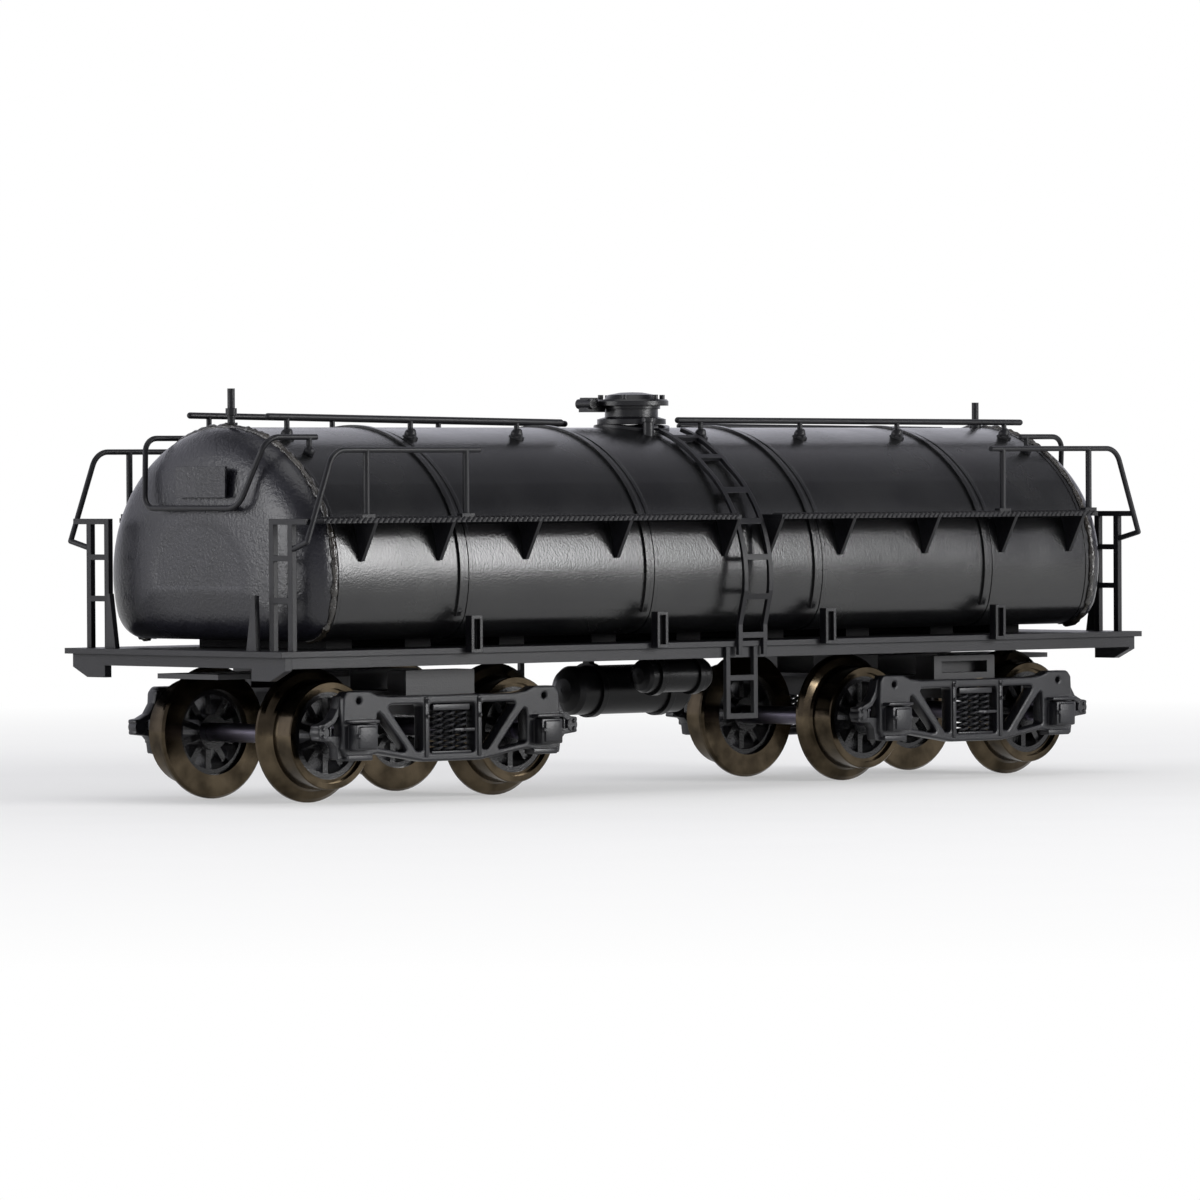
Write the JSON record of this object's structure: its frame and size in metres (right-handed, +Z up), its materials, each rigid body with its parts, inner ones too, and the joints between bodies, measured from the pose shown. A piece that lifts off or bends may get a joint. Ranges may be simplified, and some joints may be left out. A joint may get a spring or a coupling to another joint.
{
  "type": "model tank wagon",
  "caption": "Black N-scale model of a bogie oil tank wagon with a loaf-shaped tank, side walkways, ladders, handrails, a low manhole dome and swivelling spoked-wheel bogies",
  "frame": {"origin": "middle of the bounding box's underside, where the wheel flanges end", "axes": "+X along the wagon to its right end, +Y across to the far side, +Z up"},
  "size_m": [0.0642, 0.0198, 0.0218],
  "materials": {
    "black_body": "satin",
    "tank_skin": "satin",
    "end_casting": "satin",
    "etched_rails": "satin",
    "cast_fittings": "satin",
    "bogie_casting": "matte",
    "bolster_plastic": "matte",
    "blackened_tyre": "polished",
    "spoke_plastic": "satin",
    "axle_steel": "satin",
    "screw_steel": "satin"
  },
  "bodies": {
    "wagon_body": {"air_reservoir_long": "cast_fittings", "air_reservoir_short": "cast_fittings", "band_anchors": "cast_fittings", "centre_ladders": "etched_rails", "centre_sill": "black_body", "corner_ladders_left": "etched_rails", "corner_ladders_right": "etched_rails", "cross_bearers": "black_body", "deck_plate": "black_body", "deck_stakes": "black_body", "end_grab_rails": "etched_rails", "handrails_left": "etched_rails", "handrails_right": "etched_rails", "headstock_left": "black_body", "headstock_right": "black_body", "lid_bolts": "cast_fittings", "manhole_flange": "cast_fittings", "manhole_hinge": "cast_fittings", "manhole_lid": "cast_fittings", "manhole_neck": "cast_fittings", "number_plates": "end_casting", "pivot_screws": "screw_steel", "relief_valve": "cast_fittings", "reservoir_straps": "cast_fittings", "roof_posts": "etched_rails", "roof_rails_far": "etched_rails", "roof_rails_near": "etched_rails", "side_sill_far": "black_body", "side_sill_near": "black_body", "side_steps": "etched_rails", "tank_bands": "tank_skin", "tank_barrel": "tank_skin", "tank_end_left": "end_casting", "tank_end_right": "end_casting", "tank_saddles": "black_body", "walkway_brackets": "etched_rails", "walkway_far": "etched_rails", "walkway_near": "etched_rails"},
    "bogie_left": {"bogie_bolster_left": "bolster_plastic", "coupler_tongue_left": "bolster_plastic", "side_frame_left_near": "bogie_casting", "side_frame_left_far": "bogie_casting", "bogie_springs_left": "bogie_casting"},
    "bogie_right": {"bogie_bolster_right": "bolster_plastic", "coupler_tongue_right": "bolster_plastic", "side_frame_right_near": "bogie_casting", "side_frame_right_far": "bogie_casting", "bogie_springs_right": "bogie_casting"},
    "wheelset_left_a": {"axle_left_a": "axle_steel", "tyres_left_a": "blackened_tyre", "wheel_centres_left_a": "spoke_plastic"},
    "wheelset_left_b": {"axle_left_b": "axle_steel", "tyres_left_b": "blackened_tyre", "wheel_centres_left_b": "spoke_plastic"},
    "wheelset_right_a": {"axle_right_a": "axle_steel", "tyres_right_a": "blackened_tyre", "wheel_centres_right_a": "spoke_plastic"},
    "wheelset_right_b": {"axle_right_b": "axle_steel", "tyres_right_b": "blackened_tyre", "wheel_centres_right_b": "spoke_plastic"}
  },
  "joints": [
    {"name": "pivot_left", "type": "hinge", "parent": "wagon_body", "child": "bogie_left", "pos_m": [-0.0196, 0, 0.0065], "axis": [0, 0, 1], "range_deg": [-12, 12]},
    {"name": "axle_left_a", "type": "hinge", "parent": "bogie_left", "child": "wheelset_left_a", "pos_m": [-0.0261, 0, 0.00355], "axis": [0, 1, 0], "continuous": true},
    {"name": "axle_left_b", "type": "hinge", "parent": "bogie_left", "child": "wheelset_left_b", "pos_m": [-0.0131, 0, 0.00355], "axis": [0, 1, 0], "continuous": true},
    {"name": "pivot_right", "type": "hinge", "parent": "wagon_body", "child": "bogie_right", "pos_m": [0.0196, 0, 0.0065], "axis": [0, 0, 1], "range_deg": [-12, 12]},
    {"name": "axle_right_a", "type": "hinge", "parent": "bogie_right", "child": "wheelset_right_a", "pos_m": [0.0131, 0, 0.00355], "axis": [0, 1, 0], "continuous": true},
    {"name": "axle_right_b", "type": "hinge", "parent": "bogie_right", "child": "wheelset_right_b", "pos_m": [0.0261, 0, 0.00355], "axis": [0, 1, 0], "continuous": true}
  ]
}
